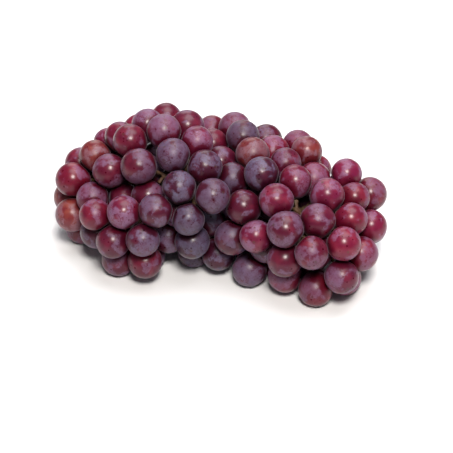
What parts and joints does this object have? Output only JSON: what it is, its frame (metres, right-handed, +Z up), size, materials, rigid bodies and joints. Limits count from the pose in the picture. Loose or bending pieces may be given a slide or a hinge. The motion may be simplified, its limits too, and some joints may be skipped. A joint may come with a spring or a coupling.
{
  "type": "bunch of grapes",
  "caption": "Loose bunch of round red table grapes with a waxy bloom, lying on its side, its cut stem behind it.",
  "frame": {"origin": "on the surface that the bunch lies on, under the middle of its box", "axes": "+Z up, +X along the bunch towards the side without the peak, +Y towards the back, where the peduncle comes out"},
  "size_m": [0.2042, 0.1492, 0.0861],
  "materials": {
    "berry_skin": "red-purple skin under a pale waxy bloom, rubbed off in patches",
    "stem": "matt, green-brown, browner at the cut and at the nodes"
  },
  "bodies": {
    "root": {"stem": "stem", "trio_01": "berry_skin", "trio_02": "berry_skin", "trio_03": "berry_skin", "trio_04": "berry_skin", "trio_05": "berry_skin", "trio_06": "berry_skin", "trio_07": "berry_skin", "trio_08": "berry_skin", "trio_09": "berry_skin", "trio_10": "berry_skin", "trio_11": "berry_skin", "trio_12": "berry_skin", "trio_13": "berry_skin", "trio_14": "berry_skin", "trio_15": "berry_skin", "trio_16": "berry_skin", "trio_17": "berry_skin", "trio_18": "berry_skin", "trio_19": "berry_skin", "trio_20": "berry_skin", "trio_21": "berry_skin", "trio_22": "berry_skin", "trio_23": "berry_skin", "trio_24": "berry_skin", "trio_25": "berry_skin", "trio_26": "berry_skin", "trio_27": "berry_skin", "trio_28": "berry_skin", "trio_29": "berry_skin", "trio_30": "berry_skin", "trio_31": "berry_skin", "trio_32": "berry_skin", "trio_33": "berry_skin", "trio_34": "berry_skin", "trio_35": "berry_skin", "trio_36": "berry_skin", "trio_37": "berry_skin", "trio_38": "berry_skin", "trio_39": "berry_skin", "trio_40": "berry_skin", "trio_41": "berry_skin", "trio_42": "berry_skin", "trio_43": "berry_skin", "trio_44": "berry_skin", "trio_45": "berry_skin", "trio_46": "berry_skin", "trio_47": "berry_skin", "trio_48": "berry_skin", "trio_49": "berry_skin", "trio_50": "berry_skin", "trio_51": "berry_skin"}
  },
  "joints": []
}
